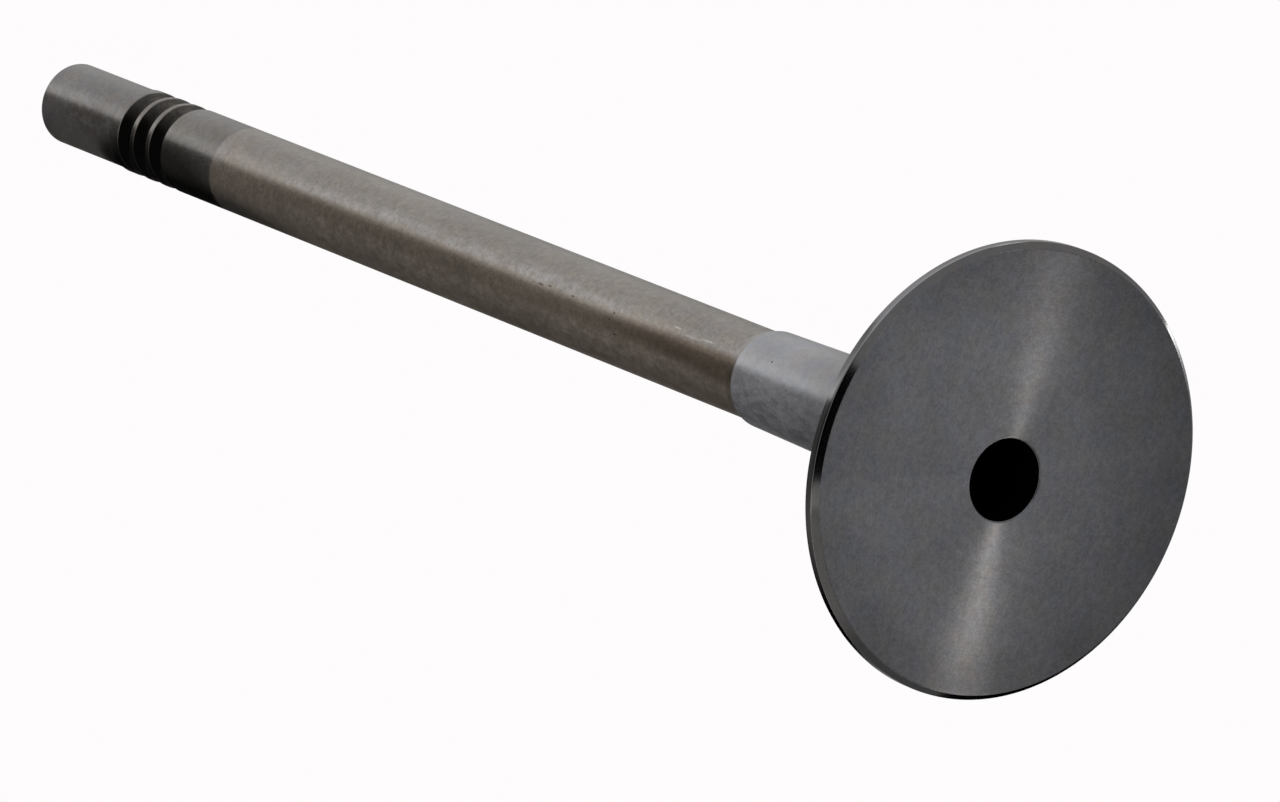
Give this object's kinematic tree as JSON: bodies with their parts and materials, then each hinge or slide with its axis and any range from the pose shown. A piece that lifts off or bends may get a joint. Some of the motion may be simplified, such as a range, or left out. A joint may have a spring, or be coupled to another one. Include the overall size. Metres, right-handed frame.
{
  "type": "engine valve",
  "caption": "Poppet engine valve with a flat turned head, blind bore near the face's centre, chamfered edge, conical seat, tulip neck, ground stem and round keeper grooves below the tip.",
  "frame": {"origin": "centre of the flat head face, on the surface that the valve stands on", "axes": "+Z along the stem from the head face to the tip; the valve is round about Z apart from the bore, which lies 0.7 mm off it towards -X; the picture looks at the head face from the -Y side and from below"},
  "size_m": [0.044, 0.044, 0.1675],
  "materials": {
    "valve_steel": "turned and ground valve steel"
  },
  "bodies": {
    "root": {"valve": "valve_steel"}
  },
  "joints": []
}
